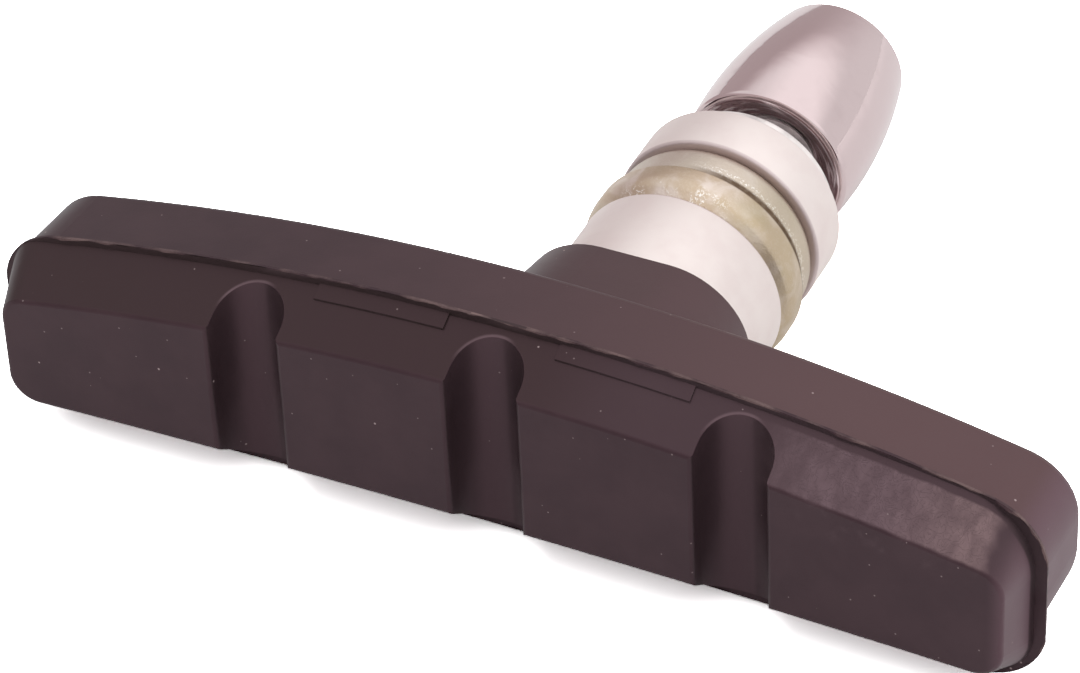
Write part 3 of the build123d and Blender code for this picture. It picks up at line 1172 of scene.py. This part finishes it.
@dataclass
class WasherStack:
    """The spherical washers, two silver and two yellow, and the flat washer."""

    bore: float = 3.6 * MM
    ball_radius: float = 10.0 * MM
    seat_clearance: float = 0.02 * MM
    seat_mouth: float = 6.4 * MM
    corner: float = 0.25 * MM
    fine_corner: float = 0.12 * MM
    dome_corner: float = 0.5 * MM
    flat_bore: float = 3.2 * MM

    def build(self, thick: Material, thin: Material, yellow: Material, steel: Material) -> None:
        """Makes the five washers.

        Args:
            thick: Material of the thick concave one.
            thin: Material of the thin concave one.
            yellow: Material of the convex ones.
            steel: Material of the flat one.
        """
        made = (
            (self.concave("thick_concave_spacer", Side.TO_NUT), thick, Slot.SILVER),
            (self.convex("inner_convex_washer", Side.TO_PAD), yellow, Slot.YELLOW),
            (self.convex("outer_convex_washer", Side.TO_NUT), yellow, Slot.YELLOW),
            (self.concave("thin_concave_washer", Side.TO_PAD), thin, Slot.SILVER),
            (self.flat("flat_washer"), steel, Slot.FLAT),
        )
        for piece, material, slot in made:
            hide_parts(piece.name.removesuffix("_visual"))
            dress(piece, material, slot)

    def concave(self, node: str, seat: Side) -> Object:
        """Turns a washer with a flat side and a ball seat.

        Args:
            node: The CAD node that it stands for.
            seat: The side its seat is on.

        Returns:
            The washer.
        """
        extent = Extent.of(node)
        flat, rim = (extent.start, extent.end) if seat is Side.TO_NUT else (extent.end, extent.start)
        centre = rim + seat.value * math.sqrt(self.ball_radius**2 - self.seat_mouth**2)
        ball = self.ball_radius + self.seat_clearance
        back = Side(-seat.value)
        floor = centre + back.value * math.sqrt(ball**2 - self.bore**2)
        mouth = math.sqrt(ball**2 - (rim - centre) ** 2)
        section = Section(f"{node}_visual", (self.bore, flat, self.corner)).line((self.bore, floor))
        section.ball(centre, back, ball, mouth, self.fine_corner)
        section.line((extent.radius, rim, self.corner), (extent.radius, flat, self.corner))
        return section.spin()

    def convex(self, node: str, dome: Side) -> Object:
        """Turns a washer with a flat side and a dome.

        Args:
            node: The CAD node that it stands for.
            dome: The side its dome is on.

        Returns:
            The washer.
        """
        extent = Extent.of(node)
        flat, top = (extent.start, extent.end) if dome is Side.TO_NUT else (extent.end, extent.start)
        centre = top - dome.value * math.sqrt(self.ball_radius**2 - self.bore**2)
        land = centre + dome.value * math.sqrt(self.ball_radius**2 - extent.radius**2)
        section = Section(f"{node}_visual", (self.bore, flat, self.corner))
        section.line((extent.radius, flat, self.fine_corner), (extent.radius, land, self.dome_corner))
        return section.ball(centre, dome, self.ball_radius, self.bore).spin()

    def flat(self, node: str) -> Object:
        """Turns the plain washer.

        Args:
            node: The CAD node that it stands for.

        Returns:
            The washer.
        """
        extent = Extent.of(node)
        section = Section(f"{node}_visual", (self.flat_bore, extent.start, self.corner))
        section.line((extent.radius, extent.start, self.corner), (extent.radius, extent.end, self.corner))
        return section.line((self.flat_bore, extent.end, self.corner)).spin()


@dataclass
class CapNut:
    """The long chrome nut: a convex barrel, a conical mouth, a bore and a hexagon socket."""

    mouth_radius: float = 5.8 * MM
    waist_radius: float = 5.95 * MM
    waist_share: float = 0.4
    tip_radius: float = 4.75 * MM
    lip_rounding: float = 0.35 * MM
    tip_rounding: float = 0.8 * MM
    cone_radius: float = 5.2 * MM
    cone_depth: float = 1.5 * MM
    cone_rounding: float = 0.12 * MM
    bore: float = 3.05 * MM
    socket_flats: float = 5.0 * MM
    socket_depth: float = 5.0 * MM
    socket_chamfer: float = 0.4 * MM
    socket_rounding: float = 0.15 * MM
    socket_overrun: float = 0.5 * MM
    barrel_steps: int = 40

    def build(self, chrome: Material) -> None:
        """Makes the nut.

        Args:
            chrome: Its material.
        """
        piece = self.barrel()
        self.cut_socket(piece)
        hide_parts("cap_nut")
        dress(piece, chrome, Slot.CHROME)

    def barrel(self) -> Object:
        """Turns the nut with its bore and the dished end that the socket is cut into."""
        extent = Extent.of("cap_nut")
        length = extent.end - extent.start
        waist = extent.start + length * self.waist_share
        floor = extent.end - self.socket_depth
        corner = self.socket_flats / math.sqrt(3)
        dish = extent.end - self.socket_chamfer
        cone_end = extent.start + self.cone_depth
        tip = (self.tip_radius, extent.end, self.tip_rounding)
        section = Section("cap_nut_visual", (0, floor)).line((self.bore, floor), (self.bore, cone_end))
        section.line((self.cone_radius, extent.start, self.cone_rounding))
        section.line((self.mouth_radius, extent.start, self.lip_rounding))
        section.arc((self.waist_radius, waist), tip, self.barrel_steps)
        section.line((corner + self.socket_chamfer, extent.end, self.socket_rounding))
        return section.line((corner, dish), (0, dish)).spin(2 * SPIN_STEPS)

    def cut_socket(self, piece: Object) -> None:
        """Cuts the hexagon socket down to the bore.

        Args:
            piece: The turned nut.
        """
        length = self.socket_depth + 2 * self.socket_overrun
        floor = Extent.of("cap_nut").end - self.socket_depth
        clear()
        bpy.ops.mesh.primitive_cylinder_add(
            vertices=6,
            radius=self.socket_flats / math.sqrt(3),
            depth=length,
            location=(0, floor - self.socket_overrun + length / 2, 0),
            rotation=(math.radians(90), 0, 0),
        )
        cutter = bpy.context.object
        modify(piece, "BOOLEAN", {"object": cutter, "operation": "DIFFERENCE", "solver": "EXACT"})
        bpy.data.objects.remove(cutter)
        smooth(piece)


@dataclass(frozen=True)
class Lamp:
    """A large square lamp: its name, where it stands, its side in metres and its power in watts."""

    name: str
    place: Triple
    size: float
    power: float


@dataclass
class Studio:
    """Pale floor, soft light and the camera at the photograph's viewing angle.

    Spans named side and height are shares of a ray's direction, along X and upwards.
    """

    aim: Triple = (-1.2 * MM, 5.9 * MM, 7.7 * MM)
    azimuth: float = 27.08
    elevation: float = 39.32
    roll: float = -2.72
    distance: float = 300 * MM
    lens: float = 162.45
    sensor: float = 36.0
    shift_x: float = -0.0099
    shift_y: float = -0.0004
    clip: Span = (0.01, 20.0)
    lamps: tuple[Lamp, ...] = (
        Lamp("key_light", (0.25, -0.35, 1.25), 1.2, 6.5),
        Lamp("back_light", (0.9, 0.7, 0.7), 0.9, 4.5),
    )
    ambient: float = 0.62
    wall_side: Span = (-0.45, 0.45)
    roof_side: Span = (-0.6, 0.0)
    roof_height: Span = (0.36, 0.66)
    tent_top: float = 1.3
    tent_dim_top: float = 0.95
    tent_left: float = 0.56
    left_tint: Colour = (1.0, 0.88, 0.89)
    tent_right: float = 0.92
    floor_size: float = 6.0
    floor_shade: float = 0.86
    mirrored_floor_left: float = 0.95
    mirrored_floor_right: float = 1.02
    floor_along: Span = (20 * MM, 80 * MM)
    seen_floor_shade: float = 4.4

    def build(self) -> None:
        """Makes the floor, the world, the lamps and the camera."""
        self.floor()
        self.world()
        for lamp in self.lamps:
            self.light(lamp)
        self.camera()

    @staticmethod
    def rays(graph: Graph) -> tuple[Value, Value]:
        """Which rays arrive: 1 for those from the camera, and 1 for those from metal, gloss or glass."""
        path = graph.node("ShaderNodeLightPath")
        camera, glossy, through = (
            Value(graph, path.outputs[name])
            for name in ("Is Camera Ray", "Is Glossy Ray", "Is Transmission Ray")
        )
        return camera, glossy.larger(through)

    def floor(self) -> None:
        """Makes the floor under the object, white where it isn't in shadow."""
        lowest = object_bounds()[0].z
        clear()
        bpy.ops.mesh.primitive_plane_add(size=self.floor_size, location=(0, 0, lowest))
        floor = bpy.context.object
        floor.name = floor.data.name = "studio_floor"
        surface = Surface("studio_floor", WHITE)
        camera, mirrored = self.rays(surface)
        bright = surface.x.rise(*self.floor_along).blend(self.mirrored_floor_left, self.mirrored_floor_right)
        shade = camera.blend(self.floor_shade, self.seen_floor_shade)
        shade = shade + (bright - self.floor_shade) * mirrored
        colour = surface.node("ShaderNodeCombineColor", None, {0: shade, 1: shade, 2: shade})
        matte = surface.node("ShaderNodeBsdfDiffuse", None, {"Color": colour.outputs[0]})
        surface.node("ShaderNodeOutputMaterial", None, {"Surface": matte.outputs[0]})
        floor.data.materials.append(surface.material)
        floor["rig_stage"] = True

    def world(self) -> None:
        """Makes the light tent: white to look at, soft grey on the object, and graded in its gloss.

        Metal and gloss see it brightest overhead, dimmer round the horizon, dimmest and pink on the left.
        """
        world = bpy.data.worlds.new("studio")
        world.use_nodes = True
        bpy.context.scene.world = world
        graph = Graph(world.node_tree)
        camera, mirrored = self.rays(graph)
        side, _, height = graph.axes(graph.node("ShaderNodeTexCoord").outputs["Generated"])
        right = side.rise(*self.wall_side)
        wall = right.blend(self.tent_left, self.tent_right)
        roof = side.rise(*self.roof_side).blend(self.tent_dim_top, self.tent_top)
        overhead = height.rise(*self.roof_height)
        tent = overhead.blend(wall, roof)
        strength = camera.blend(self.ambient) + (tent - self.ambient) * mirrored
        tint = graph.mix(mirrored * (1 - overhead) * (1 - right), WHITE, self.left_tint)
        sky = graph.node("ShaderNodeBackground", None, {"Color": tint, "Strength": strength})
        graph.node("ShaderNodeOutputWorld", None, {"Surface": sky.outputs[0]})

    def light(self, lamp: Lamp) -> None:
        """Adds a lamp that shines on the object and has no mirror image in it.

        Args:
            lamp: What it is like.
        """
        clear()
        bpy.ops.object.light_add(type="AREA", location=lamp.place)
        made = bpy.context.object
        made.name = lamp.name
        made.data.shape = "SQUARE"
        made.data.size = lamp.size
        made.data.energy = lamp.power
        made.visible_glossy = False
        made.rotation_euler = (Vector(self.aim) - Vector(lamp.place)).to_track_quat("-Z", "Y").to_euler()

    def camera(self) -> None:
        """Makes the camera."""
        tilt = Euler((math.radians(90 - self.elevation), 0, math.radians(self.azimuth))).to_matrix()
        turn = tilt @ Matrix.Rotation(math.radians(self.roll), 3, "Z")
        data = bpy.data.cameras.new("camera")
        data.lens = self.lens
        data.sensor_width = self.sensor
        data.shift_x = self.shift_x
        data.shift_y = self.shift_y
        data.clip_start, data.clip_end = self.clip
        camera = bpy.data.objects.new("camera", data)
        camera.location = Vector(self.aim) + turn.col[2] * self.distance
        camera.rotation_euler = turn.to_euler()
        bpy.context.scene.collection.objects.link(camera)
        bpy.context.scene.camera = camera


def main() -> None:
    """Builds and dresses every sub-assembly, and sets the stage."""
    logging.basicConfig(level=logging.INFO, format="%(name)s: %(message)s", stream=sys.stdout)
    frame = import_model()
    bpy.context.scene.view_settings.view_transform = "Standard"
    nodes = frame["nodes"]
    RubberMoulding().build(nodes["rubber_pad"], MouldedRubber().make(), RaggedRubber().make())
    stud_steel = PlainSteel("stud_steel", linear(232, 222, 222), roughness=0.35, metal=0.6)
    plate_steel = PlainSteel("plate_steel", linear(128, 124, 124), roughness=0.45)
    Insert().build(nodes["backing_plate"], stud_steel.make(), plate_steel.make())
    spacer_end = Extent.of("thick_concave_spacer").end
    WasherStack().build(
        SatinAluminium("thick_aluminium", rim=spacer_end).make(),
        SatinAluminium("thin_aluminium", rim=Extent.of("thin_concave_washer").start).make(),
        YellowZinc(seam=Extent.of("inner_convex_washer").end, front=spacer_end).make(),
        PlainSteel("washer_steel", linear(246, 238, 236), roughness=0.3, metal=0.6).make(),
    )
    CapNut().build(NutChrome(mouth=Extent.of("cap_nut").start).make())
    Studio().build()


if __name__ == "__main__":
    main()
